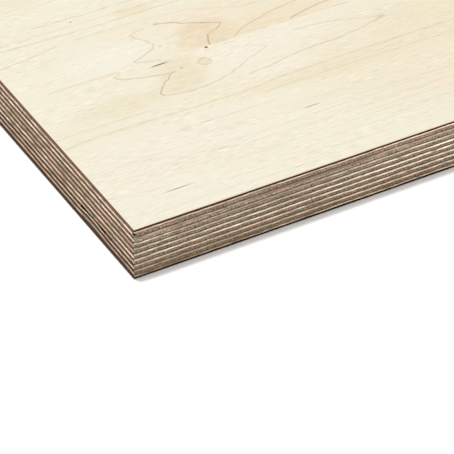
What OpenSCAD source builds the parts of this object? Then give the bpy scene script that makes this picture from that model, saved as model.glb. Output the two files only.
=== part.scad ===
// Thick multi-ply board: thin core plies laid crosswise to each other, between two sliced
// face veneers. All sizes are in millimetres.
// X runs along the grain of the faces, Y across it, and Z up from the underside.
// The origin is at the middle of the underside.
// Core plies are numbered from the top down. Odd ones have their grain along X, even ones along Y.

/* [Board] */
// Length of the board, along the grain of its faces
board_l = 800; // [200:10:2500]
// Width of the board, across the grain of its faces
board_w = 400; // [150:10:1250]

/* [Core plies] */
// Number of core plies, odd so that the outermost two run the same way
core_plies = 17; // [7:2:25]
// Thickness of one pressed core ply
ply_t = 1.4; // [0.8:0.1:3]

/* [Face veneers] */
// Thickness of the veneer on each face
face_t = 0.8; // [0.4:0.1:2]
// Width of one whole leaf of the top veneer
leaf_w = 200; // [80:10:400]
// Width of the trimmed leaf along the front edge
front_leaf_w = 100; // [20:5:400]

/* [Core gap] */
// Which core ply has the gap, counted up from the lowest one
gap_ply_up = 5; // [1:1:7]
// Distance from the front left corner to the near side of the gap
gap_from_corner = 24; // [5:0.5:80]
// Width of the gap where it opens in the left edge
gap_w = 22.5; // [5:0.5:40]
// How far the gap runs in from the left edge
gap_depth = 40; // [20:1:150]

/* [Corner chip] */
// Radius of the chip at the front left corner of the second ply
chip_r = 1; // [0.3:0.1:3]
// Height of the chip, down from the top of that ply
chip_h = 0.7; // [0.2:0.1:0.8]

/* [Hidden] */
// Extra reach of a cutting shape past the face that it cuts
over = 0.5;
// Sides of a full circle
$fn = 64;

leaf_count = front_leaf_w >= board_w ? 1 : 1 + ceil((board_w - front_leaf_w) / leaf_w);
board_t = core_plies * ply_t + 2 * face_t;
gap_ply = core_plies + 1 - gap_ply_up;
chip_ply = 2;

function two_digits(n) = n < 10 ? str("0", n) : str(n);
function leaf_name(k) = str("top_veneer_leaf_", k);
function ply_name(i) = str("core_ply_", two_digits(i));

// Distances of a leaf's two long edges from the board's front edge
function leaf_start(k) = k == 1 ? 0 : front_leaf_w + (k - 2) * leaf_w;
function leaf_end(k) = min(board_w, front_leaf_w + (k - 1) * leaf_w);

// Height of a core ply's lower face
function ply_z(i) = face_t + (core_plies - i) * ply_t;

// Puts a shape that is measured from the front left corner into the board's frame
module from_corner() {
    translate([-board_l / 2, -board_w / 2, 0]) children();
}

// One leaf of the top veneer, edge-glued to the next
module top_veneer_leaf(k) {
    color([0.95, 0.93, 0.85])
    from_corner()
    translate([0, leaf_start(k), board_t - face_t])
    cube([board_l, leaf_end(k) - leaf_start(k), face_t]);
}

// Open gap in a core ply: its mouth is in the left edge and its inner end is round
module core_gap() {
    gap_r = gap_w / 2;
    translate([0, gap_from_corner + gap_r, -over])
    linear_extrude(ply_t + 2 * over)
    union() {
        translate([-over, -gap_r]) square([over + gap_depth - gap_r, gap_w]);
        translate([gap_depth - gap_r, 0]) circle(gap_r);
    }
}

// Chip broken out of the upper side of a ply, at the front left corner
module corner_chip() {
    translate([0, 0, ply_t - chip_h]) cylinder(r = chip_r, h = chip_h + over);
}

// One core ply, with the gap or the chip where that ply has it
module core_ply(i) {
    color(i % 2 == 1 ? [0.82, 0.76, 0.68] : [0.60, 0.49, 0.39])
    from_corner()
    translate([0, 0, ply_z(i)])
    difference() {
        cube([board_l, board_w, ply_t]);
        if (i == gap_ply) core_gap();
        if (i == chip_ply) corner_chip();
    }
}

// Veneer on the underside, in one piece
module bottom_veneer() {
    color([0.85, 0.79, 0.68])
    from_corner()
    cube([board_l, board_w, face_t]);
}

for (k = [1 : leaf_count])
    top_veneer_leaf(k);
for (i = [1 : core_plies])
    core_ply(i);
bottom_veneer();
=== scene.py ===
import bpy
import math
import numpy as np
from mathutils import Matrix, Vector


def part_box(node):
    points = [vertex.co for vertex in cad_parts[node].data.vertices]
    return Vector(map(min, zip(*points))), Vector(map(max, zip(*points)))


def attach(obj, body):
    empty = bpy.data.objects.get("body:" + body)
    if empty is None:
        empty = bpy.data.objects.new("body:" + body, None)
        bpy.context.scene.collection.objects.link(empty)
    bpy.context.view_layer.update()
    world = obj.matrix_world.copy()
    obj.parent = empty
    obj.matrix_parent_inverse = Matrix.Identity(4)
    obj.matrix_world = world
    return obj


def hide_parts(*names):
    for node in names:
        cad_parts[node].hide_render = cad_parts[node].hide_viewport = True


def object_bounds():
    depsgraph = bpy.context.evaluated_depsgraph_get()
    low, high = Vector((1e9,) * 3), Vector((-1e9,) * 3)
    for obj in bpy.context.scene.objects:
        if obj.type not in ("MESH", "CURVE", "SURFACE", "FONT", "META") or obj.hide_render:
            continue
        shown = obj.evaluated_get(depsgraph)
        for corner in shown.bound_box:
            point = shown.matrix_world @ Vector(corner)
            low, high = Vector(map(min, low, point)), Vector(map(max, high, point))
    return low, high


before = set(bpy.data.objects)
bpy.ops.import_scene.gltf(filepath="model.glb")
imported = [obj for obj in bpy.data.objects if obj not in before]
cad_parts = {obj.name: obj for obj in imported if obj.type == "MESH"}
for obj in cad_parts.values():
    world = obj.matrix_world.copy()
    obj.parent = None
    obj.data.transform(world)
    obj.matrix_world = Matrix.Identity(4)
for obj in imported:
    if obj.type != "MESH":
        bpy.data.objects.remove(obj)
cad_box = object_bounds()

# ------------------------------------------------------------ the board, from the frame
# Lengths below are millimetres from the front left corner of the underside, the corner
# that the camera looks at: x along the board, y across it, z up. place() turns them into
# the frame's metres.
MM = 0.001
LOW, HIGH = Vector(cad_box[0]), Vector(cad_box[1])
LENGTH, WIDTH = (HIGH.x - LOW.x) / MM, (HIGH.y - LOW.y) / MM
PERIMETER = 2 * (LENGTH + WIDTH)
LEAVES = sorted(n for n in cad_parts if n.startswith("top_veneer_leaf"))
PLIES = sorted(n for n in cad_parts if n.startswith("core_ply"))
BOTTOM = "bottom_veneer"


def span(node):
    """A node's lowest and highest corner."""
    return [np.array(corner - LOW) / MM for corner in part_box(node)]


def place(points):
    """Points in the frame, in metres."""
    return np.asarray(points) * MM + np.array(LOW)


TOP = span(LEAVES[0])[1][2]
# Heights of the seams between layers, from the top veneer's lower face down
SEAMS = [span(n)[0][2] for n in [LEAVES[0], *PLIES]]
JOINTS = [span(n)[1][1] for n in LEAVES[:-1]]  # where the top leaves meet, across the board

# The open gap between two strips of one core ply, in the left edge, as the CAD cuts it
GAP_PLY = 13
GAP_START, GAP_END, GAP_DEPTH = 24.0, 46.5, 40.0
GAP_MIDDLE = (GAP_START + GAP_END) / 2
# How far the seams near the gap rise at its middle. Seams count from 0, under the top veneer.
GAP_BOWS = {11: -0.05, 14: 0.62, 15: 0.62, 16: 0.5, 17: 0.2}
# The rise of the seams right above and below the gap, at its ends and at its middle
GAP_LIPS = {12: (0.06, -0.06), 13: (-0.14, 0.66)}

# On the front edge the seams sag most near the left corner, and run level from SAG_END on
SAGS = [
    *(0.0, 0.35, 0.6, 0.75, 0.65, 0.55, 0.45, 0.4, 0.3),
    *(0.25, 0.2, 0.2, 0.15, 0.15, 0.15, 0.15, 0.1, 0.05),
]
SAG_START, SAG_END = 2.5, 90.0
# The lowest seams lie lower all along the front edge, and a little higher on the left one
FRONT_DROPS = {16: 0.3, 17: 0.08}
LEFT_RISES = {16: 0.1}
# Each seam's own waviness, (height, number of waves round the board): a slow one, which
# SHARED seams in a row have in common, and a quick one
SLOW_WAVE, QUICK_WAVE = (0.07, 40), (0.035, 150)
SHARED = 4
# Such a waviness is a sum of sine waves of these heights, each SHORTER than the one before.
# Divided by WAVE_PEAK, the sum stays near -1 to 1.
WAVE_PARTS = (1.0, 0.7, 0.5, 0.28)
SHORTER, WAVE_PEAK = 1.9, 1.6
SLOW_SEED, QUICK_SEED, PLY_SEED, TOP_SEED, BOTTOM_SEED = 11, 100, 300, 401, 402
# Beyond the gap's ends the bow fades out, over these shares of its length or half-length
BOW_FADE, LIP_FADE = 0.05, 0.3

# A chip out of the upper part of one ply at the front left corner: the ply, how far it
# reaches, its depth as a share of that, and the share of the ply's height where it starts
CHIP_PLY, CHIP, CHIP_DEPTH, CHIP_FROM = 2, 1.4, 0.8, 0.4

# ------------------------------------------------------------ mesh sizes
FINE, COARSE = 0.6, 2.0  # spacing of points along an edge, near that corner and elsewhere
FINE_ALONG, FINE_ACROSS = 216.0, 156.0  # how far the close spacing reaches from the corner
CORNER_R = 0.25  # rounding of the board's upright corners
ARRIS = 0.18  # rounding of the long edges of both faces
RING = 3.0  # width of the band in which a layer's wavy edge flattens out
GROOVE = 0.045  # depth of the glue line between two layers
TINY = 0.001  # places closer together than this are the same place
PLY_ROUGH, VENEER_ROUGH = 0.03, 0.02  # how unevenly a saw cuts their edges
ROUGH_WAVES = 260  # number of such uneven places round the board
SHARP_FROM = 50.0  # edges bent by more degrees than this stay sharp
# Rows of points up a layer's edge, each at a share of its height
PLY_SHARES = (0.0, 0.13, 0.38, 0.44, 0.87, 1.0)
VENEER_STEP, STEP_SHARE = 0.12, 0.15  # a veneer's first row is this far from its glue line
ROUND_TURNS = (0.0, 30.0, 60.0, 90.0)  # the points of a rounded edge or corner, in degrees
ARRIS_SHARES = (0.75, 0.85, 0.93, 1.0)  # the shares of a veneer's height at those of its edge
GAP_STRAIGHT, GAP_ROUND = 7, 15  # numbers of points along the gap's walls and round its end

# ------------------------------------------------------------ bake map
# A board's edges are long thin strips, so each piece carries its own map, in which the
# strips are cut to the map's width and laid in rows.
MAP_NAME = "OFBake"
MAP_PX, MAP_GAP = 1024.0, 4.0
CAP_PX = 60.0  # height of the part of the map that a hidden face gets
EDGE_PX = 120.0  # height of the part that the edge of a layer gets whose face shows
MOST_PX = 24.0  # scale of the map at most, in its pixels to a millimetre


def waves(values, count, seed):
    """Smooth waviness round the perimeter, from -1 to 1 or so, with count waves or more."""
    turn = 2 * math.pi * np.asarray(values) / PERIMETER
    rng = np.random.default_rng(seed)
    total = 0.0
    for k, share in enumerate(WAVE_PARTS):
        n = int(count * SHORTER**k)
        total = total + share * np.sin(n * turn + rng.uniform(0, 2 * math.pi))
    return total / WAVE_PEAK


def perimeter_place(x, y):
    """Distance in from the nearest edge, and distance round the board to there."""
    ways = np.stack([y, LENGTH - x, WIDTH - y, x])
    side = ways.argmin(0)
    run = np.choose(side, [x, LENGTH + y, LENGTH + WIDTH + (LENGTH - x), PERIMETER - y])
    return ways.min(0), run


def gap_bow(k, along):
    """Rise of seam k at the gap in the left edge; along is 0 and 1 at the gap's ends."""
    if k in GAP_LIPS:
        at_ends, at_middle = GAP_LIPS[k]
        reach = np.clip((1 + LIP_FADE - np.abs(2 * along - 1)) / LIP_FADE, 0, 1)
        middle = np.sin(math.pi * np.clip(along, 0, 1)) ** 2
        return reach * at_ends + middle * (at_middle - at_ends)
    wide = np.clip((along + BOW_FADE) / (1 + 2 * BOW_FADE), 0, 1)
    return np.sin(math.pi * wide) * GAP_BOWS.get(k, 0.0)


def seam_height(k, x, y):
    """Height of seam k, which waves, sags and bows near the board's edges."""
    x, y = np.asarray(x, float), np.asarray(y, float)
    inward, run = perimeter_place(x, y)
    fade = np.clip(1 - inward / RING, 0, 1) ** 2
    slow = SLOW_WAVE[0] * waves(run, SLOW_WAVE[1], SLOW_SEED + k // SHARED)
    quick = QUICK_WAVE[0] * waves(run, QUICK_WAVE[1], QUICK_SEED + k)
    bow = np.where(x < LENGTH / 2, gap_bow(k, (y - GAP_START) / (GAP_END - GAP_START)), 0)
    at_end = np.clip(np.minimum(x, LENGTH - x) / SAG_START, 0, 1)
    sag = at_end * (np.clip(1 - x / SAG_END, 0, 1) * SAGS[k] + FRONT_DROPS.get(k, 0.0))
    sag = np.where(y < RING, sag, 0)
    rise = np.where(x < RING, np.clip(y / SAG_START, 0, 1), 0) * LEFT_RISES.get(k, 0.0)
    return SEAMS[k] + fade * (slow + quick + bow + rise - sag)


# ------------------------------------------------------------ outlines
def stations(length, fine, extra):
    """Places along a side: close together up to fine, then further apart, and each of extra."""
    near = np.linspace(0, fine, int(fine / FINE) + 1) if fine else np.array([0.0])
    far = np.linspace(fine, length, int((length - fine) / COARSE) + 1)
    return np.unique(np.concatenate([near, far, extra]).round(4))


TILE_COUNTS = (1, 2, 3)  # a face that shows may be cut into this many lengths in the bake map
TILE_CUTS = [LENGTH * part / tiles for tiles in TILE_COUNTS for part in range(1, tiles)]
ALONG_FINE = stations(LENGTH, FINE_ALONG, TILE_CUTS)
ALONG = stations(LENGTH, 0.0, TILE_CUTS)
ACROSS_FINE = stations(WIDTH, FINE_ACROSS, [*JOINTS, GAP_START, GAP_END])
ACROSS = stations(WIDTH, 0.0, JOINTS)


def rounded(corner, toward, away):
    """The points of one upright corner, between the directions of its two sides."""
    points = []
    for turn in ROUND_TURNS:
        c, s = math.cos(math.radians(turn)), math.sin(math.radians(turn))
        points.append(corner + CORNER_R * ((1 - s) * toward + (1 - c) * away))
    return points


def outline(y_low, y_high, gap=False):
    """The points round a layer, anticlockwise from the front left, between two places across."""
    at_front, at_back = abs(y_low) < TINY, abs(y_high - WIDTH) < TINY
    x_axis, y_axis = np.array([1.0, 0.0]), np.array([0.0, 1.0])
    front = ALONG_FINE if at_front else ALONG
    first, last = y_low + CORNER_R * at_front + TINY, y_high - CORNER_R * at_back - TINY
    right = ACROSS[(ACROSS > first) & (ACROSS < last)]
    left = ACROSS_FINE[(ACROSS_FINE > first) & (ACROSS_FINE < last)][::-1]

    def corner(x, y, toward, away, is_round):
        point = np.array([x, y])
        return rounded(point, toward, away) if is_round else [point]

    points = corner(0, y_low, y_axis, x_axis, at_front)
    points += [np.array([x, y_low]) for x in front if CORNER_R < x < LENGTH - CORNER_R]
    points += corner(LENGTH, y_low, -x_axis, y_axis, at_front)
    points += [np.array([LENGTH, y]) for y in right]
    points += corner(LENGTH, y_high, -y_axis, -x_axis, at_back)
    points += [np.array([x, y_high]) for x in ALONG[::-1] if CORNER_R < x < LENGTH - CORNER_R]
    points += corner(0, y_high, x_axis, -y_axis, at_back)
    for y in left:
        if gap and GAP_START < y < GAP_END:
            continue
        points.append(np.array([0.0, y]))
        if gap and abs(y - GAP_END) < TINY:
            points += gap_wall()
    return np.array(points)


def gap_wall():
    """The points round the inside of the gap, from its far side to its near side."""
    radius = (GAP_END - GAP_START) / 2
    centre = np.array([GAP_DEPTH - radius, GAP_MIDDLE])
    straight = np.linspace(0, GAP_DEPTH - radius, GAP_STRAIGHT + 1)[1:]
    turns = np.radians(np.linspace(90, -90, GAP_ROUND + 2))[1:-1]
    far = [np.array([x, GAP_END]) for x in straight]
    round_end = [centre + radius * np.array([math.cos(a), math.sin(a)]) for a in turns]
    near = [np.array([x, GAP_START]) for x in straight[::-1]]
    return far + round_end + near


def inset(points, depth, low=(0.0, 0.0), high=(LENGTH, WIDTH)):
    """The outline drawn in from the sides of a rectangle, by a depth for each point."""
    low, high = np.array(low), np.array(high)
    middle, size = (low + high) / 2, high - low
    return middle + (points - middle) * (1 - 2 * np.asarray(depth)[:, None] / size)


# ------------------------------------------------------------ pieces
class BakeMap:
    """Where a piece's faces go in its bake map."""

    def __init__(self, run, height, budget):
        """Finds the largest scale at which strips of this total run and height fit in budget."""
        self.scale = MOST_PX
        while self.rows(run) * self.pitch(height) > budget:
            self.scale *= 0.98
        self.height = height
        self.used = self.rows(run) * self.pitch(height)

    def overhang(self):
        """How far a quad that crosses a row's end may stick out of the row."""
        return COARSE / 2 * self.scale

    def width(self):
        return MAP_PX - 2 * MAP_GAP - 2 * self.overhang()

    def rows(self, run):
        return math.ceil(run * self.scale / self.width())

    def pitch(self, height):
        return height * self.scale + MAP_GAP

    def strip(self, run_a, run_b, up_a, up_b):
        """The corners of a quad between two places along the strip and two heights up it."""
        row = int((run_a + run_b) / 2 * self.scale // self.width())
        left = MAP_GAP + self.overhang() - row * self.width()
        base = MAP_GAP + row * self.pitch(self.height)
        xs = [left + run * self.scale for run in (run_a, run_b)]
        ys = [base + up * self.scale for up in (up_a, up_b)]
        return [(xs[0], ys[0]), (xs[1], ys[0]), (xs[1], ys[1]), (xs[0], ys[1])]


def flat_map(corners, low, scale, at):
    """Corners of a flat face, laid out at a scale from a place in the map."""
    return [(at[0] + (x - low[0]) * scale, at[1] + (y - low[1]) * scale) for x, y in corners]


def slab(name, points, rows, shown=None, gap=False):
    """A closed layer: rows of (heights, insets, share of the way up), then its two caps.

    shown is "top" or "bottom" where that cap shows, and then it is cut into map tiles.
    """
    count = len(points)
    rings = [(inset(points, depth), height, share) for height, depth, share in rows]
    low, high = points.min(0), points.max(0)
    run = np.concatenate([[0], np.cumsum(np.linalg.norm(np.roll(points, -1, 0) - points, axis=1))])
    thick = float(rows[-1][0].max() - rows[0][0].min())
    budget = EDGE_PX if shown else MAP_PX - 2 * CAP_PX - 4 * MAP_GAP
    laid = BakeMap(run[-1], thick, budget)
    vertices = np.concatenate([np.column_stack([xy, z]) for xy, z, _ in rings])
    shares = np.concatenate([np.full(count, share) for _, _, share in rings])
    faces, spots, smooth = [], [], []
    for r in range(len(rings) - 1):
        up = [thick * rings[r + k][2] for k in (0, 1)]
        for i in range(count):
            j = (i + 1) % count
            faces.append((r * count + i, r * count + j, (r + 1) * count + j, (r + 1) * count + i))
            spots.append(laid.strip(run[i], run[i + 1], *up))
            smooth.append(True)

    def cap(row, upward):
        """One cap: a hidden one flattens towards its middle, and a shown one is cut into tiles."""
        nonlocal vertices, shares
        loop = list(range(row * count, (row + 1) * count))
        if shown == ("top" if upward else "bottom"):
            room = MAP_PX - laid.used - CAP_PX - 6 * MAP_GAP
            width = high[1] - low[1]
            fits = [min((MAP_PX - 2 * MAP_GAP) / (LENGTH / n), room / n / width) for n in TILE_COUNTS]
            scale, tiles = max(zip(fits, TILE_COUNTS))
            for tile in range(tiles):
                x_low, x_high = LENGTH * tile / tiles, LENGTH * (tile + 1) / tiles
                inside = (points[:, 0] >= x_low - TINY) & (points[:, 0] <= x_high + TINY)
                part = [loop[i] for i in np.flatnonzero(inside)]
                at = (MAP_GAP, MAP_GAP + laid.used + tile * (width * scale + MAP_GAP))
                add_cap(part, upward, flat_map(vertices[part][:, :2], (x_low, low[1]), scale, at))
            return
        at = (MAP_GAP + (MAP_PX / 2 if upward else 0), MAP_PX - CAP_PX)
        size = high - low
        scale = min((MAP_PX / 2 - 2 * MAP_GAP) / size[0], (CAP_PX - 2 * MAP_GAP) / size[1])
        if not gap:
            drawn = inset(points, np.full(count, RING), low, high)
            level = float(np.median(vertices[loop][:, 2]))
            first = len(vertices)
            vertices = np.concatenate([vertices, np.column_stack([drawn, np.full(count, level)])])
            shares = np.concatenate([shares, np.full(count, float(upward))])
            inner = list(range(first, first + count))
            for i in range(count):
                j = (i + 1) % count
                quad = [loop[i], loop[j], inner[j], inner[i]]
                add_cap(quad, upward, flat_map(vertices[quad][:, :2], low, scale, at))
            loop = inner
        add_cap(loop, upward, flat_map(vertices[loop][:, :2], low, scale, at))

    def add_cap(corners, upward, uv):
        faces.append(tuple(corners) if upward else tuple(corners[::-1]))
        spots.append(uv if upward else uv[::-1])
        smooth.append(False)

    cap(0, False)
    cap(len(rings) - 1, True)
    return make_piece(name, vertices, faces, shares, spots, smooth)


def make_piece(name, vertices, faces, shares, spots, smooth):
    """An object with each point's share of the way up, and with its bake map."""
    mesh = bpy.data.meshes.new(name)
    mesh.from_pydata(place(vertices).tolist(), [], faces)
    mesh.polygons.foreach_set("use_smooth", smooth)
    mesh.attributes.new("share", "FLOAT", "POINT").data.foreach_set("value", shares)
    uv = mesh.uv_layers.new(name=MAP_NAME)
    flat = np.array([corner for face in spots for corner in face]) / MAP_PX
    uv.data.foreach_set("uv", flat.ravel().astype(np.float32))
    mesh.set_sharp_from_angle(angle=math.radians(SHARP_FROM))
    mesh.update()
    piece = bpy.data.objects.new(name, mesh)
    bpy.context.scene.collection.objects.link(piece)
    return piece


def relief(points, seed, depth):
    """How far a sawn edge lies back from the board's side, along the outline."""
    inward, run = perimeter_place(points[:, 0], points[:, 1])
    rough = depth * (0.5 + 0.5 * np.clip(waves(run, ROUGH_WAVES, seed), -1, 1))
    return np.where(inward < CORNER_R + TINY, rough, 0.0)


def outer(points):
    """1 for points on the board's own edges, 0 for those inside it."""
    inward, _ = perimeter_place(points[:, 0], points[:, 1])
    return (inward < CORNER_R + TINY).astype(float)


def core_ply(number, name):
    """One core ply, between the seams above and below it."""
    gap = number == GAP_PLY
    points = outline(0.0, WIDTH, gap)
    upper = seam_height(number - 1, points[:, 0], points[:, 1])
    lower = seam_height(number, points[:, 0], points[:, 1])
    glue = GROOVE * outer(points)
    chip = np.clip(CHIP - points.sum(1), 0, CHIP) * CHIP_DEPTH if number == CHIP_PLY else 0.0
    rows = []
    for share in PLY_SHARES:
        at_seam = share in (PLY_SHARES[0], PLY_SHARES[-1])
        depth = glue if at_seam else relief(points, PLY_SEED + number, PLY_ROUGH)
        rows.append((lower + (upper - lower) * share, depth + chip * (share > CHIP_FROM), share))
    return slab(name, points, rows, gap=gap)


def arris_rows():
    """The rounded edge of a face, from the wall to the face: (depth below it, inset, share)."""
    for turn, share in zip(ROUND_TURNS, ARRIS_SHARES):
        c, s = math.cos(math.radians(turn)), math.sin(math.radians(turn))
        yield ARRIS * (1 - s), ARRIS * (1 - c), share


def top_leaf(node, name):
    """One leaf of the top veneer, with softened edges where it meets the air."""
    y_low, y_high = (corner[1] for corner in span(node))
    points = outline(y_low, y_high)
    lower = seam_height(0, points[:, 0], points[:, 1])
    edge = outer(points)
    rows = [(lower, GROOVE * edge, 0.0)]
    rows.append((lower + VENEER_STEP, relief(points, TOP_SEED, VENEER_ROUGH), STEP_SHARE))
    for below, depth, share in arris_rows():
        rows.append((np.full(len(points), TOP - below), depth * edge, share))
    return slab(name, points, rows, shown="top")


def bottom_veneer(name):
    """The veneer on the underside."""
    points = outline(0.0, WIDTH)
    upper = seam_height(len(SEAMS) - 1, points[:, 0], points[:, 1])
    rows = []
    for above, depth, share in reversed(list(arris_rows())):
        rows.append((np.full(len(points), above), np.full(len(points), depth), 1 - share))
    rows.append((upper - VENEER_STEP, relief(points, BOTTOM_SEED, VENEER_ROUGH), 1 - STEP_SHARE))
    rows.append((upper, np.full(len(points), GROOVE), 1.0))
    return slab(name, points, rows, shown="bottom")


# ------------------------------------------------------------ shader building
SPECULAR = 0.12  # bare wood shines little


class Shader:
    """One material's node tree, with a short call for each kind of node that it uses."""

    def __init__(self, name):
        self.material = bpy.data.materials.new(name)
        self.material.use_nodes = True
        self.tree = self.material.node_tree
        self.tree.nodes.clear()
        where = self.node("ShaderNodeTexCoord").outputs["Object"]
        moved = self.node("ShaderNodeVectorMath", operation="SUBTRACT")
        self.put(moved.inputs[0], where)
        self.put(moved.inputs[1], tuple(LOW))
        scaled = self.node("ShaderNodeVectorMath", operation="SCALE")
        self.put(scaled.inputs[0], moved.outputs[0])
        self.put(scaled.inputs["Scale"], 1 / MM)
        split = self.node("ShaderNodeSeparateXYZ")
        self.put(split.inputs[0], scaled.outputs[0])
        self.x, self.y, self.z = split.outputs

    def node(self, kind, **settings):
        made = self.tree.nodes.new(kind)
        for key, value in settings.items():
            setattr(made, key, value)
        return made

    def put(self, socket, value):
        if isinstance(value, bpy.types.NodeSocket):
            self.tree.links.new(value, socket)
        elif isinstance(value, tuple) and len(value) == 3 and socket.type == "RGBA":
            socket.default_value = (*value, 1.0)
        else:
            socket.default_value = value

    def math(self, operation, *values, clamp=False):
        made = self.node("ShaderNodeMath", operation=operation, use_clamp=clamp)
        for socket, value in zip(made.inputs, values):
            self.put(socket, value)
        return made.outputs[0]

    def add(self, a, b):
        return self.math("ADD", a, b)

    def times(self, a, b):
        return self.math("MULTIPLY", a, b)

    def product(self, first, *rest):
        for value in rest:
            first = self.times(first, value)
        return first

    def most(self, first, *rest):
        for value in rest:
            first = self.math("MAXIMUM", first, value)
        return first

    def line(self, value, scale, offset):
        return self.math("MULTIPLY_ADD", value, scale, offset)

    def ramp(self, value, start, end, low=0.0, high=1.0):
        """A smooth step from low at start to high at end."""
        made = self.node("ShaderNodeMapRange", interpolation_type="SMOOTHSTEP")
        for socket, number in zip(made.inputs, (value, start, end, low, high)):
            self.put(socket, number)
        return made.outputs[0]

    def mix(self, factor, a, b):
        made = self.node("ShaderNodeMix", data_type="RGBA")
        self.put(made.inputs[0], factor)
        self.put(made.inputs[6], a)
        self.put(made.inputs[7], b)
        return made.outputs[2]

    def vector(self, x, y, z):
        made = self.node("ShaderNodeCombineXYZ")
        for socket, value in zip(made.inputs, (x, y, z)):
            self.put(socket, value)
        return made.outputs[0]

    def noise(self, x, y, z, sizes, detail=2.0, roughness=0.5):
        """Noise from 0 to 1 whose features have these sizes along x, y and z."""
        scaled = self.vector(*(self.times(v, 1 / s) for v, s in zip((x, y, z), sizes)))
        made = self.node("ShaderNodeTexNoise")
        self.put(made.inputs["Vector"], scaled)
        self.put(made.inputs["Scale"], 1.0)
        self.put(made.inputs["Detail"], detail)
        self.put(made.inputs["Roughness"], roughness)
        return made.outputs[0]

    def tint(self, factor, colour, scales):
        """The colour, with its red, green and blue multiplied by scales as far as factor says."""
        made = self.node("ShaderNodeMix", data_type="RGBA", blend_type="MULTIPLY", clamp_factor=True)
        self.put(made.inputs[0], factor)
        self.put(made.inputs[6], colour)
        self.put(made.inputs[7], tuple(scales))
        return made.outputs[2]

    def brighten(self, colour, amount):
        """The colour times one plus amount."""
        made = self.node("ShaderNodeVectorMath", operation="SCALE")
        self.put(made.inputs[0], colour)
        self.put(made.inputs["Scale"], self.add(amount, 1.0))
        return made.outputs[0]

    def curve(self, value, points, bends="AUTO"):
        """A curve through points of (value, result), level beyond the first and the last.

        bends is AUTO for a smooth curve and VECTOR for one that turns sharply at each point.
        """
        (v_low, r_low), (v_high, r_high) = np.min(points, 0), np.max(points, 0)
        made = self.node("ShaderNodeFloatCurve")
        drawn = made.mapping.curves[0].points
        v_span, r_span = v_high - v_low, r_high - r_low
        places = sorted(((v - v_low) / v_span, (r - r_low) / r_span) for v, r in points)
        drawn[0].location, drawn[-1].location = places[0], places[-1]
        for spot in places[1:-1]:
            drawn.new(*spot)
        for spot in drawn:
            spot.handle_type = bends
        made.mapping.update()
        share = self.line(value, 1 / v_span, -v_low / v_span)
        self.put(made.inputs["Value"], self.math("ADD", share, 0.0, clamp=True))
        return self.line(made.outputs[0], r_span, r_low)

    def share(self):
        """The share of the way up its layer."""
        return self.node("ShaderNodeAttribute", attribute_name="share").outputs["Fac"]

    def within(self, value, low, high, fade):
        """1 between low and high, fading to 0 just outside."""
        return self.times(self.ramp(value, low - fade, low), self.ramp(value, high + fade, high))

    def finish(self, colour, height, roughness, depth):
        """Ends the tree in a matt wood surface, whose bump is height times depth in millimetres."""
        surface = self.node("ShaderNodeBsdfPrincipled")
        self.put(surface.inputs["Base Color"], colour)
        self.put(surface.inputs["Roughness"], roughness)
        self.put(surface.inputs["Specular IOR Level"], SPECULAR)
        bump = self.node("ShaderNodeBump")
        self.put(bump.inputs["Strength"], 1.0)
        self.put(bump.inputs["Distance"], depth * MM)
        self.put(bump.inputs["Height"], height)
        self.put(surface.inputs["Normal"], bump.outputs[0])
        output = self.node("ShaderNodeOutputMaterial")
        self.put(output.inputs["Surface"], surface.outputs[0])
        return self.material


# Light that falls on each kind of surface, as a multiple of what a white one would send back.
# A colour below is how the lit surface looks, on the usual 0 to 255 scale.
ON_FACE, ON_EDGE = 1.5, 1.14


def look(red, green, blue, light=ON_FACE):
    """The base colour that looks like this in that light."""
    shown = [c / 255 for c in (red, green, blue)]
    linear = [((c + 0.055) / 1.055) ** 2.4 if c > 0.0404 else c / 12.92 for c in shown]
    return tuple(c / light for c in linear)


# ------------------------------------------------------------ the face veneer's figure
# u runs along the grain, and v away from the joint at which the leaves lie mirrored.
# Growth lines, listed: (which comes first in its points, points, width, darkness). A
# line is drawn by u where it runs along the grain, and by v where it zigzags across it.
BY_U, BY_V = "u", "v"
MIDDLE_LINES = [
    (BY_V, [(9.4, 69.2), (12.7, 71.5), (17.6, 68.6), (22.0, 66.3), (24.0, 65.8)], 0.5, 0.6),
    (BY_U, [(66.0, 24.0), (69.3, 25.0), (73.0, 25.7)], 0.5, 0.35),
    (BY_U, [(57.5, 4.6), (63.0, 6.6), (69.0, 9.6)], 0.5, 0.6),
    (BY_U, [(57.4, 3.9), (61.0, 2.3), (64.4, 1.4), (68.0, 0.5)], 0.5, 0.45),
    (BY_V, [(0.8, 93.2), (4.3, 94.4), (7.5, 95.8), (9.8, 101.6), (12.6, 105.6)], 0.6, 1.0),
    (BY_U, [(79.5, 26.4), (84.6, 24.7), (93.2, 20.0), (100.0, 16.7), (106.0, 13.4)], 0.6, 0.85),
    (BY_U, [(106.5, 1.1), (113.3, 5.4), (121.8, 7.9), (131.9, 10.9), (142, 12.6), (156, 13.4)], 0.5, 0.6),
    (BY_U, [(135.3, 1.1), (143.7, 3.7), (155.6, 5.9), (170.0, 7.4)], 0.6, 0.75),
    (BY_U, [(14.0, 0.5), (30.0, 0.7), (47.4, 0.6)], 0.8, 0.3),
    (BY_U, [(96.0, 0.4), (98.5, 0.5), (101.0, 0.4)], 0.6, 0.35),
]
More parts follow.
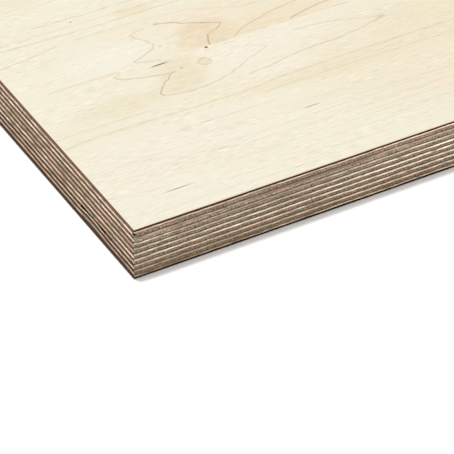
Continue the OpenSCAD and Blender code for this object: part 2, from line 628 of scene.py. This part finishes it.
FRONT_LINES = [
    (BY_V, [(0.0, 47.5), (2.2, 43.2), (4.8, 45.7)], 0.6, 0.75),
    (BY_U, [(45.7, 4.8), (53.3, 7.6), (64.3, 10.3), (69.5, 10.9)], 0.5, 0.65),
    (BY_V, [(10.7, 67.7), (15.8, 61.8), (22.2, 55.3), (24.2, 56.2)], 0.6, 0.85),
    (BY_U, [(55.6, 23.6), (64.3, 26.2), (72.7, 26.7), (79.5, 26.2)], 0.5, 0.5),
    (BY_U, [(79.5, 26.2), (89.6, 23.4), (103.2, 17.1), (114.1, 12.7)], 0.5, 0.45),
    (BY_U, [(109.1, 9.0), (114.1, 12.7)], 0.5, 0.4),
    (BY_U, [(96.4, 27.9), (109.9, 26.2), (128.5, 23), (143.7, 22.5), (157.2, 20.8), (173, 17)], 0.5, 0.5),
    (BY_U, [(131.3, 7.6), (147.0, 9.0), (159.8, 12.4), (167.4, 15.2), (173.0, 17.0)], 0.5, 0.35),
]
# The thin, nearly straight grain lines beside the figure
MIDDLE_FAINT = [
    (BY_U, [(2.0, 26.6), (18.7, 28.9), (33.0, 31.7)], 0.6, 0.75),
    (BY_U, [(42, 32.4), (62.6, 32.7), (86.3, 31.6), (103.2, 27.9), (113.3, 23.6), (119.2, 20.9)], 0.5, 0.5),
    (BY_U, [(119.2, 20.9), (128.5, 20.4), (142.0, 18.5), (160.0, 17.5)], 0.5, 0.5),
    (BY_U, [(8.0, 39.4), (30.0, 38.3), (60.0, 38.0), (90.0, 38.6), (120.0, 36.5)], 0.6, 0.8),
    (BY_U, [(12.0, 43.4), (60.0, 43.0), (110.0, 43.6)], 0.9, 0.4),
    (BY_U, [(30.0, 49.8), (56.0, 49.0), (90.0, 49.6)], 0.5, 0.8),
]
FRONT_FAINT = [
    (BY_U, [(2.0, 39.6), (28.0, 37.4), (55.8, 38.0), (79.5, 38.2), (96.4, 37.4)], 0.6, 0.8),
    (BY_U, [(96.4, 37.4), (135.0, 35.4), (194.0, 34.8), (230.0, 35.6)], 0.7, 0.8),
    (BY_U, [(96.0, 43.6), (140.0, 42.2), (210.0, 42.6)], 0.5, 0.5),
    (BY_U, [(0.0, 31.9), (20.0, 31.1), (45.0, 31.6)], 0.5, 0.6),
    (BY_U, [(48.0, 50.0), (70.0, 49.8), (96.0, 50.4)], 0.5, 0.6),
    (BY_U, [(0.0, 60.2), (20.0, 59.8), (50.0, 60.3)], 0.5, 0.35),
    (BY_U, [(30.0, 68.6), (60.0, 67.2), (100.0, 66.8), (160.0, 66.2)], 0.5, 0.4),
    (BY_U, [(90.0, 71.8), (120.0, 72.4), (170.0, 71.9)], 0.5, 0.4),
    (BY_U, [(100.0, 84.4), (130.0, 84.1), (165.0, 84.8)], 0.5, 0.35),
    (BY_U, [(78.0, 91.8), (100.0, 91.6), (150.0, 92.1)], 0.5, 0.3),
]
# Soft patches of tone: (u, v, reach along u, reach along v, colour, strength)
MIDDLE_PATCHES = [
    (120.0, 12.0, 50.0, 24.0, look(243, 231, 203), 0.6),
    (134.0, 4.0, 34.0, 13.0, look(243, 228, 197), 0.8),
    (99.0, 15.0, 14.0, 7.0, look(244, 226, 198), 0.6),
    (95.0, 8.0, 17.0, 14.0, look(239, 220, 188), 0.78),
    (76.0, 41.0, 11.0, 7.0, look(242, 229, 200), 0.75),
    (47.0, 14.0, 22.0, 14.0, look(248, 243, 228), 0.6),
]
FRONT_PATCHES = [
    (180.0, 45.0, 75.0, 50.0, look(243, 231, 204), 0.7),
    (150.0, 41.0, 75.0, 6.0, look(240, 227, 197), 0.6),
    (72.0, 11.0, 14.0, 14.0, look(239, 228, 198), 0.9),
    (66.0, 19.0, 13.0, 9.0, look(239, 228, 198), 0.75),
    (38.0, 22.0, 28.0, 8.0, look(240, 230, 201), 0.8),
    (112.0, 10.0, 32.0, 10.0, look(248, 240, 222), 0.8),
    (110.0, 29.0, 22.0, 5.0, look(248, 241, 224), 0.7),
    (190.0, 24.0, 30.0, 14.0, look(241, 230, 200), 0.75),
    (30.0, 60.0, 70.0, 22.0, look(247, 239, 221), 0.6),
    (15.0, 92.0, 60.0, 18.0, look(245, 241, 223), 0.6),
]
# Small marks: (u, v, half its length, half its width, darkness)
MIDDLE_MARKS = [
    (47.1, 45.9, 0.8, 0.5, 0.5),
    (73.2, 9.9, 0.8, 0.5, 0.35),
    (161.0, 0.4, 5.0, 0.5, 0.18),
]
FRONT_MARKS = [
    (65.8, 2.7, 4.6, 0.38, 1.0),
    (107.5, 61.4, 4.8, 0.35, 0.55),
    (28.8, 84.6, 7.0, 0.35, 0.6),
    (90.5, 0.8, 0.9, 0.7, 1.0),
    (73.1, 9.5, 0.8, 0.5, 0.4),
    (172.0, 17.0, 2.6, 1.6, 0.12),
    (99.5, 2.2, 1.4, 0.5, 0.15),
]
PIN_KNOT = (84.3, 10.0, 3.3, 3.0)  # u, v and reach along each, on the front leaf
FIGURE_REACH = (215.0, 52.0)  # the part of a leaf that the drawn figure fills
LEAF_SLIDE = 9.0  # how far the figure slides along from one leaf to the next
LINE_BLUR = 1.35  # how far a growth line fades out, as a multiple of its width
RING_SHIFT = 8.0  # how far the middle of the growth rings lies from the joint
RING_PITCH = 9.0  # distance between growth lines, well away from the middle of the figure
FIGURE_HALF = 30.0  # how far out the growth lines start to run straight


def nearness(sh, u, v, spot):
    """1 at the middle of an oval spot, falling smoothly to 0 a little outside it."""
    u_mid, v_mid, u_reach, v_reach = spot
    du, dv = (sh.line(a, 1 / r, -m / r) for a, m, r in ((u, u_mid, u_reach), (v, v_mid, v_reach)))
    return sh.ramp(sh.add(sh.times(du, du), sh.times(dv, dv)), 1.5, 0.0)


def softly(sh, u, v, spot):
    """The same, but fading all the way from the spot's middle."""
    near = nearness(sh, u, v, spot)
    return sh.times(near, sh.math("SQRT", near))


def growth_lines(sh, u, v, lines):
    """How dark the listed growth lines are, from 0 to 1."""
    total = 0.0
    for kind, points, width, dark in lines:
        run, side, bends = (u, v, "AUTO") if kind == BY_U else (v, u, "VECTOR")
        off = sh.math("ABSOLUTE", sh.math("SUBTRACT", side, sh.curve(run, points, bends)))
        along = sh.within(run, points[0][0], points[-1][0], 0.8)
        total = sh.most(total, sh.product(sh.ramp(off, LINE_BLUR * width, 0.0), along, dark))
    return total


def growth_rings(sh, u, v, leaf):
    """Growth lines of the rest of the leaf, where two near places lie in different rings."""

    def ring(u_off, v_off):
        uu, vv = sh.add(u, u_off), sh.add(v, v_off - RING_SHIFT)
        out = sh.math("SQRT", sh.add(sh.times(vv, vv), FIGURE_HALF**2))
        bend = sh.noise(uu, vv, leaf * 0.12, (150.0, 34.0, 1.0), detail=1.0)
        fine = sh.noise(uu, vv, leaf * 0.2, (30.0, 9.0, 1.0), detail=1.0)
        bent = sh.add(sh.times(bend, 5.0), sh.times(fine, 0.35))
        return sh.math("FLOOR", sh.add(sh.times(out, 1 / RING_PITCH), bent))

    here = ring(0.0, 0.0)
    apart = sh.most(
        sh.math("ABSOLUTE", sh.math("SUBTRACT", here, ring(0.0, 0.4))),
        sh.math("ABSOLUTE", sh.math("SUBTRACT", here, ring(0.5, 0.0))),
    )
    fade = sh.ramp(sh.noise(u, v, 3.0 + leaf, (45.0, 12.0, 1.0)), 0.3, 0.65, 0.1, 0.8)
    return sh.times(sh.math("MINIMUM", apart, 1.0), fade)


def wood_edge(sh, run, colour, seed):
    """A sawn veneer edge: streaks along it and slow changes of tone."""
    streak = sh.noise(run, sh.z, seed, (9.0, 0.22, 1.0), detail=3.0)
    slow = sh.noise(run, sh.z, seed + 7.0, (40.0, 3.0, 1.0))
    change = sh.add(sh.line(streak, 0.5, -0.25), sh.line(slow, 0.4, -0.2))
    return sh.brighten(colour, change)


def sides(sh):
    """How far the surface faces along x, y and z, from 0 to 1."""
    split = sh.node("ShaderNodeSeparateXYZ")
    sh.put(split.inputs[0], sh.node("ShaderNodeNewGeometry").outputs["Normal"])
    return [sh.math("ABSOLUTE", way) for way in split.outputs]


def hue_drift(sh, colour, x, y, z, sizes, strength):
    """Lets the colour drift a little towards red and towards green."""
    drift = sh.noise(x, y, z, sizes, detail=1.0)
    red = sh.times(sh.ramp(drift, 0.5, 0.75), strength)
    green = sh.times(sh.ramp(drift, 0.5, 0.25), strength)
    colour = sh.tint(red, colour, (1.10, 0.96, 0.93))
    return sh.tint(green, colour, (0.93, 1.03, 0.97))


# The looks of the face veneer: its wood, its thin and drawn growth lines, knot and specks
PALE, STRAW = look(246, 239, 218), look(244, 234, 208)
THIN_LINE = look(214, 200, 172)
LINE_BROWN, LINE_TAN = look(194, 173, 146), look(204, 167, 132)
KNOT_FILL, KNOT_RIM = look(238, 220, 190), look(222, 194, 164)
MARK_LOOK = look(96, 52, 34)
# The veneer's edge, on the front of the board and on its left: as cut, and paler near the top, partly the
# pale face wood and partly a painted highlight on the rounded edge
CUT_FRONT, CUT_LEFT = look(48, 19, 4, ON_EDGE), look(108, 72, 52, ON_EDGE)
PALE_AND_HIGHLIGHT_FRONT, PALE_AND_HIGHLIGHT_LEFT = look(236, 203, 165, ON_EDGE), look(132, 97, 74, ON_EDGE)


def face_veneer(name, leaf, mirror, lines, faint, patches, marks, knot=None):
    """Sliced, pale, fine-grained veneer. mirror turns y into the distance from its joint."""
    sh = Shader(name)
    sign, offset = mirror
    u_true, v_true = sh.x, sh.line(sh.y, sign, offset)
    wobble = sh.noise(u_true, v_true, 5.0 + leaf, (7.0, 2.5, 1.0))
    u = sh.add(u_true, sh.line(wobble, 2.0, -1.0))
    v = sh.add(v_true, sh.line(wobble, 1.2, -0.6))
    slid = sh.add(u_true, LEAF_SLIDE * leaf)

    colour = PALE
    slow = sh.noise(slid, v_true, 1.0 + leaf * 0.3, (150.0, 24.0, 1.0), detail=3.0)
    colour = sh.mix(sh.ramp(slow, 0.45, 0.7, 0.0, 0.8), colour, STRAW)
    for *spot, tone, strength in patches:
        colour = sh.mix(sh.times(softly(sh, u, v, spot), strength), colour, tone)
    colour = hue_drift(sh, colour, u_true, v_true, 6.0 + leaf, (9.0, 7.0, 1.0), 0.22)

    streaks = sh.noise(slid, v_true, leaf * 0.4, (26.0, 0.9, 1.0), detail=3.0, roughness=0.6)
    bands = sh.noise(slid, v_true, 9.0 + leaf * 0.2, (90.0, 5.0, 1.0), detail=2.0)
    strokes = sh.noise(slid, v_true, 12.0 + leaf, (5.5, 0.6, 1.0), detail=2.0)
    blotches = sh.noise(slid, v_true, 15.0 + leaf, (40.0, 7.0, 1.0))
    patchy = sh.ramp(blotches, 0.38, 0.62, 0.25, 1.0)
    fleck = sh.noise(slid, v_true, 2.0 + leaf, (5.0, 0.55, 1.0), detail=2.0)
    dash = sh.times(sh.ramp(fleck, 0.6, 0.74), patchy)
    long_lines = sh.noise(slid, v_true, 18.0 + leaf, (110.0, 1.3, 1.0), detail=1.0)
    grain_line = sh.ramp(long_lines, 0.66, 0.74)
    broken = sh.ramp(sh.noise(slid, v_true, 21.0 + leaf, (5.0, 2.0, 1.0)), 0.4, 0.6)
    change = sh.add(sh.line(streaks, 0.16, -0.08), sh.line(bands, 0.05, -0.025))
    change = sh.add(change, sh.times(sh.line(strokes, 0.55, -0.275), patchy))
    change = sh.add(change, sh.add(sh.times(dash, -0.12), sh.product(grain_line, broken, -0.1)))

    in_length = sh.within(u_true, -10.0, FIGURE_REACH[0], 25.0)
    in_width = sh.within(v_true, -10.0, FIGURE_REACH[1], 8.0)
    rest = sh.math("SUBTRACT", 1.0, sh.times(in_length, in_width)) if lines else 1.0
    rings = sh.times(growth_rings(sh, slid, v_true, leaf), rest)
    lines_here = growth_lines(sh, u, v, lines) if lines else 0.0
    faint_here = sh.times(growth_lines(sh, u, v, faint), 0.75) if faint else 0.0
    broken_line = sh.add(sh.times(broken, 0.45), 0.55)
    thin_lines = sh.times(sh.most(sh.times(rings, 0.6), faint_here), broken_line)
    colour = sh.mix(thin_lines, colour, THIN_LINE)
    warm = sh.ramp(sh.noise(u_true, v_true, 30.0, (14.0, 10.0, 1.0)), 0.4, 0.6)
    line_tone = sh.mix(warm, LINE_BROWN, LINE_TAN)
    colour = sh.mix(sh.times(lines_here, 0.85), colour, line_tone)
    if knot:
        near = nearness(sh, u, v, knot)
        rim = sh.times(sh.ramp(near, 0.15, 0.5), sh.ramp(near, 0.95, 0.6))
        colour = sh.mix(sh.times(near, 0.55), colour, KNOT_FILL)
        colour = sh.mix(sh.times(rim, 0.45), colour, KNOT_RIM)
    for *spot, dark in marks:
        colour = sh.mix(sh.times(nearness(sh, u, v_true, spot), dark), colour, MARK_LOOK)
    colour = sh.brighten(colour, change)

    toward_x, _, up = sides(sh)
    on_left = sh.ramp(toward_x, 0.4, 0.7)
    front_edge = wood_edge(sh, sh.x, CUT_FRONT, 4.0)
    left_edge = wood_edge(sh, sh.y, CUT_LEFT, 6.0)
    edge = sh.mix(on_left, front_edge, left_edge)
    # Near the top the edge turns paler: partly the face wood, partly a painted highlight on the rounded
    # edge.
    pale_and_highlight = sh.mix(on_left, PALE_AND_HIGHLIGHT_FRONT, PALE_AND_HIGHLIGHT_LEFT)
    edge = sh.mix(sh.ramp(sh.share(), 0.36, 0.66), edge, pale_and_highlight)
    edge = hue_drift(sh, edge, sh.x, sh.y, sh.z, (6.0, 6.0, 1.2), 1.6)
    colour = sh.mix(sh.ramp(up, 0.75, 0.45), colour, edge)
    height = sh.add(sh.times(streaks, 0.5), sh.times(dash, -0.4))
    return sh.finish(colour, height, roughness=0.55, depth=0.03)


# ------------------------------------------------------------ the core plies' looks
# Each ply as it looks along its grain and across its end grain; the lower plies' darker looks are partly
# their own tone and partly painted shade near the floor
PLY_LOOKS = {
    1: ((214, 195, 174), (118, 85, 62)),
    2: ((236, 216, 192), (138, 117, 97)),
    3: ((180, 161, 140), (100, 73, 47)),
    4: ((242, 222, 197), (151, 132, 112)),
    5: ((226, 211, 190), (98, 71, 47)),
    6: ((210, 188, 163), (132, 115, 94)),
    7: ((224, 210, 190), (97, 71, 46)),
    8: ((206, 186, 160), (125, 108, 89)),
    9: ((230, 217, 197), (100, 73, 49)),
    10: ((232, 211, 186), (125, 108, 88)),
    11: ((220, 204, 183), (101, 74, 48)),
    12: ((214, 193, 168), (126, 107, 87)),
    13: ((212, 194, 173), (70, 41, 21)),
    14: ((214, 191, 166), (123, 104, 84)),
    15: ((196, 177, 157), (76, 44, 20)),
    16: ((198, 173, 148), (117, 97, 76)),
    17: ((178, 161, 143), (60, 35, 16)),
}
# How bright the lengthwise plies' grain shows on the front edge, at each of these places; its darker tones
# near the front left corner are painted shade
TONE_PLACES = (18.0, 60.0, 105.0, 157.0)
GRAIN_TONES_AND_SHADE = {
    1: (0.93, 1.10, 1.14, 1.75),
    3: (1.02, 1.02, 1.05, 1.10),
    5: (0.80, 0.56, 0.78, 1.02),
    7: (0.76, 0.80, 1.04, 1.35),
    9: (0.88, 0.80, 1.15, 1.36),
    11: (1.12, 1.16, 1.22, 1.15),
    13: (0.84, 1.02, 1.15, 1.45),
    15: (0.73, 0.96, 1.33, 1.26),
    17: (0.78, 1.15, 1.6, 1.62),
}
MARGIN_LOOK = look(100, 80, 62, ON_EDGE)  # a ply's darker, glue-stained upper and lower parts
GLUE_LOOK = look(74, 54, 39, ON_EDGE)
PORE_LOOK = look(48, 32, 20, ON_EDGE)
HOLLOW_SHADE_LOOK = look(18, 9, 4, ON_EDGE)  # glue-stained wood inside the gap and the chip, painted near-black as the shade in these hollows
# The dark upper part of the highest ply, and the near-black lower part of the lowest one, partly
# glue-darkened wood and partly painted shade where the board meets the floor: long and end grain
HIGHEST_LOOKS = look(52, 20, 5, ON_EDGE), look(104, 66, 44, ON_EDGE)
LOWEST_DARK_AND_SHADE = look(20, 12, 7, ON_EDGE), look(50, 28, 12, ON_EDGE)
# Where a ply shows its light grain, as shares of its height: on the front edge and on the
# left one, and in the highest and the lowest ply
LIT_FRONT, LIT_LEFT = (0.06, 0.66), (0.16, 0.82)
LIT_HIGHEST, LIT_LOWEST = (0.12, 0.56), (0.28, 0.84)
# Where one ply's grain runs out of its edge and the light line fades
FADED_PLY, FADED, FADED_LOOK = 3, (64.0, 106.0), look(140, 121, 102, ON_EDGE)
# A short dark split
SPLIT_PLY, SPLIT, SPLIT_LOOK = 11, (83.7, 84.3), look(90, 74, 58, ON_EDGE)
LEFT_CONTRAST = 1.3  # how much more the figure stands out on the left edge


def ply_material(number):
    """Rotary-cut core veneer: pale streaks along its grain, brown speckled pores on its end grain."""
    sh = Shader(f"core_ply_{number:02d}")
    lengthwise = number % 2 == 1
    grain, side = (sh.x, sh.y) if lengthwise else (sh.y, sh.x)
    facing = sides(sh)
    end_grain = sh.ramp(facing[0 if lengthwise else 1], 0.45, 0.8)
    seed = 3.7 * number
    z = sh.add(sh.z, seed)
    share = sh.share()

    long_look, end_look = (look(*c, ON_EDGE) for c in PLY_LOOKS[number])
    fibre = sh.noise(grain, side, z, (4.5, 0.6, 0.4), detail=3.0, roughness=0.65)
    slow = sh.noise(grain, side, z, (13.0, 13.0, 1.8), detail=2.0)
    change = sh.add(sh.line(fibre, 3.4, -1.7), sh.line(slow, 1.6, -0.8))
    change = sh.times(change, 1.0 if lengthwise else LEFT_CONTRAST)
    colour_long = sh.brighten(long_look, change)
    if lengthwise:
        # Partly painted shade: the grain darkens towards the front left corner.
        tone = sh.curve(sh.x, list(zip(TONE_PLACES, GRAIN_TONES_AND_SHADE[number])))
        colour_long = sh.brighten(colour_long, sh.add(tone, -1.0))
    if number == FADED_PLY:
        faded = sh.times(sh.within(sh.x, *FADED, 14.0), 0.85)
        colour_long = sh.mix(faded, colour_long, FADED_LOOK)
    if number == SPLIT_PLY:
        split = sh.times(sh.within(sh.x, *SPLIT, 0.2), 0.5)
        colour_long = sh.mix(split, colour_long, SPLIT_LOOK)
    low, high = LIT_FRONT if lengthwise else LIT_LEFT
    if number == 1:
        low, high = LIT_HIGHEST
    if number == len(PLIES):
        low, high = LIT_LOWEST
    ragged = sh.line(sh.noise(sh.x, sh.y, z, (2.2, 2.2, 1.0), detail=2.0), 0.3, -0.15)
    level = sh.add(share, ragged)
    lit = sh.times(sh.ramp(level, low - 0.06, low + 0.1), sh.ramp(level, high + 0.1, high - 0.1))
    grey = sh.brighten(MARGIN_LOOK, sh.line(fibre, 2.2, -1.1))
    colour_long = sh.mix(lit, grey, colour_long)

    pores = sh.ramp(sh.noise(grain, side, z, (4.0, 0.8, 0.45), detail=2.0), 0.5, 0.64)
    pores = sh.times(pores, sh.ramp(share, 0.95, 0.4, 0.3, 1.0))
    ticks = sh.noise(grain, side, z, (9.0, 1.2, 0.45), detail=2.0)
    slow_end = sh.noise(grain, side, z, (60.0, 9.0, 1.6), detail=1.0)
    change = sh.add(sh.line(ticks, 3.9, -1.95), sh.line(slow_end, 1.7, -0.85))
    change = sh.times(change, LEFT_CONTRAST if lengthwise else 1.0)
    colour_end = sh.brighten(end_look, sh.add(change, 0.36))
    colour_end = sh.mix(sh.times(pores, 0.85), colour_end, PORE_LOOK)
    glue = sh.most(sh.ramp(level, 0.22, 0.02), sh.ramp(level, 0.9, 1.0))
    colour_end = sh.mix(sh.times(glue, 0.6), colour_end, GLUE_LOOK)

    colour = sh.mix(end_grain, colour_long, colour_end)
    if number == 1:
        above = sh.mix(end_grain, *HIGHEST_LOOKS)
        colour = sh.mix(sh.ramp(level, 0.62, 0.76), colour, above)
    # Partly painted shade: the lowest ply's lower part turns near-black along the floor, darkest on the
    # front.
    if number == len(PLIES):
        below = sh.mix(end_grain, *LOWEST_DARK_AND_SHADE)
        colour = sh.mix(sh.ramp(level, 0.3, 0.14), colour, below)
    colour = hue_drift(sh, colour, sh.x, sh.y, z, (7.0, 7.0, 1.2), 1.3)
    # Painted shade: the chip's hollow is coloured near-black.
    if number == CHIP_PLY:
        near_corner = sh.ramp(sh.add(sh.x, sh.y), CHIP, 0.8 * CHIP)
        upper_part = sh.ramp(share, CHIP_FROM - 0.02, CHIP_FROM + 0.04)
        colour = sh.mix(sh.times(near_corner, upper_part), colour, HOLLOW_SHADE_LOOK)
    # Painted shade: the walls inside the gap are coloured near-black.
    if number == GAP_PLY:
        from_end = sh.math("MINIMUM", sh.x, sh.line(sh.x, -1.0, LENGTH))
        from_side = sh.math("MINIMUM", sh.y, sh.line(sh.y, -1.0, WIDTH))
        inward = sh.math("MINIMUM", from_end, from_side)
        colour = sh.mix(sh.ramp(inward, 0.08, 0.2), colour, HOLLOW_SHADE_LOOK)
    # Painted shade: a ply's faces that turn up or down, such as those above and below the gap, are coloured
    # near-black.
    colour = sh.mix(sh.ramp(facing[2], 0.5, 0.65), colour, HOLLOW_SHADE_LOOK)
    height = sh.add(sh.times(fibre, 0.6), sh.product(pores, end_grain, -0.6))
    return sh.finish(colour, height, roughness=0.62, depth=0.06)


def back_veneer():
    """The underside's veneer: the same wood, left with wider, plainer grain."""
    sh = Shader("back_veneer")
    colour = look(238, 226, 200)
    streaks = sh.noise(sh.x, sh.y, 0.5, (34.0, 0.7, 1.0), detail=3.0, roughness=0.6)
    bands = sh.noise(sh.x, sh.y, 4.0, (180.0, 9.0, 1.0), detail=2.0)
    rings = growth_rings(sh, sh.x, sh.line(sh.y, 1.0, -150.0), 5.0)
    colour = sh.mix(sh.ramp(bands, 0.4, 0.7), colour, look(232, 215, 184))
    colour = sh.mix(sh.times(rings, 0.7), colour, look(214, 190, 154))
    colour = sh.brighten(colour, sh.line(streaks, 0.2, -0.1))
    toward_x, _, up = sides(sh)
    # The edge is near black on the front and dark brown on the left: partly glue-darkened wood, partly
    # painted shade where the board meets the floor.
    edge = wood_edge(sh, sh.add(sh.x, sh.y), look(10, 6, 4, ON_EDGE), 8.0)
    edge = sh.mix(sh.ramp(toward_x, 0.4, 0.7), edge, look(62, 38, 18, ON_EDGE))
    colour = sh.mix(sh.ramp(up, 0.75, 0.45), colour, edge)
    return sh.finish(colour, streaks, roughness=0.6, depth=0.03)


# ------------------------------------------------------------ build
def dress(piece, node, material):
    """The piece stands for its CAD node, in its material."""
    piece.data.materials.append(material)
    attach(piece, "root")
    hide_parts(node)


def mirror_for(leaf):
    """How y turns into the distance from a leaf's own joint: (factor, offset)."""
    first = JOINTS[0]
    if leaf == 0:
        return -1.0, first
    if leaf == 1:
        return 1.0, -first
    return -1.0, 2 * JOINTS[1] - first


FIGURES = [
    dict(lines=FRONT_LINES, faint=FRONT_FAINT, patches=FRONT_PATCHES, marks=FRONT_MARKS, knot=PIN_KNOT),
    dict(lines=MIDDLE_LINES, faint=MIDDLE_FAINT, patches=MIDDLE_PATCHES, marks=MIDDLE_MARKS),
    dict(lines=[], faint=[], patches=[], marks=[]),
]

for leaf, node in enumerate(LEAVES):
    veneer = face_veneer(f"face_veneer_{leaf + 1}", leaf, mirror_for(leaf), **FIGURES[leaf])
    dress(top_leaf(node, f"veneer_leaf_{leaf + 1}"), node, veneer)
for number, node in enumerate(PLIES, start=1):
    dress(core_ply(number, f"ply_{number:02d}"), node, ply_material(number))
dress(bottom_veneer("veneer_underside"), BOTTOM, back_veneer())


# ------------------------------------------------------------ floor, light, camera
FLOOR_REACH, FLOOR_BELOW = 12.0, 0.45 * MM  # metres: half its size, and how far under the board
FLOOR_GREY = (0.93, 0.93, 0.93)
CAMERA_TURN = (37.914, 31.079, 1.168)  # degrees: down, to the right, and tilted
CAMERA_PLACE = (-0.3519, -0.6556, 0.6066)  # metres from the front left corner
LENS, SENSOR = 188.47, 36.0  # millimetres
SKY, LAMP, LAMP_WIDTH = 0.9, 0.6 * math.pi, 6.0  # strengths, and the lamp's width in degrees
LAMP_WAY = (0.07, -0.11, -1.0)  # the way the lamp's light falls


def studio_floor():
    """A wide, plain, nearly white floor, a hair below the board's underside."""
    sh = Shader("studio_floor")
    surface = sh.node("ShaderNodeBsdfDiffuse")
    sh.put(surface.inputs["Color"], FLOOR_GREY)
    output = sh.node("ShaderNodeOutputMaterial")
    sh.put(output.inputs["Surface"], surface.outputs[0])
    mesh = bpy.data.meshes.new("studio_floor")
    corners = [(x * FLOOR_REACH, y * FLOOR_REACH, 0) for x, y in ((-1, -1), (1, -1), (1, 1), (-1, 1))]
    mesh.from_pydata(corners, [], [(0, 1, 2, 3)])
    floor = bpy.data.objects.new("studio_floor", mesh)
    floor.location.z = LOW.z - FLOOR_BELOW
    mesh.materials.append(sh.material)
    bpy.context.scene.collection.objects.link(floor)


def studio_light():
    """Even white light from all round, and a soft lamp high up and a little behind the board."""
    world = bpy.data.worlds.new("studio")
    world.use_nodes = True
    background = world.node_tree.nodes["Background"]
    background.inputs["Color"].default_value = (1.0, 1.0, 1.0, 1.0)
    background.inputs["Strength"].default_value = SKY
    bpy.context.scene.world = world
    lamp = bpy.data.lights.new("soft_lamp", "SUN")
    lamp.energy = LAMP
    lamp.angle = math.radians(LAMP_WIDTH)
    sun = bpy.data.objects.new("soft_lamp", lamp)
    sun.rotation_euler = Vector(LAMP_WAY).to_track_quat("-Z", "Y").to_euler()
    bpy.context.scene.collection.objects.link(sun)


def long_camera():
    """The camera: a long lens, looking down on the front left corner from in front of it."""
    pitch, yaw, roll = (math.radians(a) for a in CAMERA_TURN)
    ahead = Vector((math.sin(yaw), math.cos(yaw), 0.0))
    forward = ahead * math.cos(pitch) + Vector((0, 0, -math.sin(pitch)))
    level = forward.cross(Vector((0, 0, 1))).normalized()
    upright = level.cross(forward)
    right = math.cos(roll) * level + math.sin(roll) * upright
    up = math.cos(roll) * upright - math.sin(roll) * level
    data = bpy.data.cameras.new("camera")
    data.sensor_width = SENSOR
    data.lens = LENS
    camera = bpy.data.objects.new("camera", data)
    turn = Matrix((right, up, -forward)).transposed().to_4x4()
    camera.matrix_world = Matrix.Translation(LOW + Vector(CAMERA_PLACE)) @ turn
    bpy.context.scene.collection.objects.link(camera)
    bpy.context.scene.camera = camera


studio_floor()
studio_light()
long_camera()
bpy.context.scene.view_settings.view_transform = "Standard"
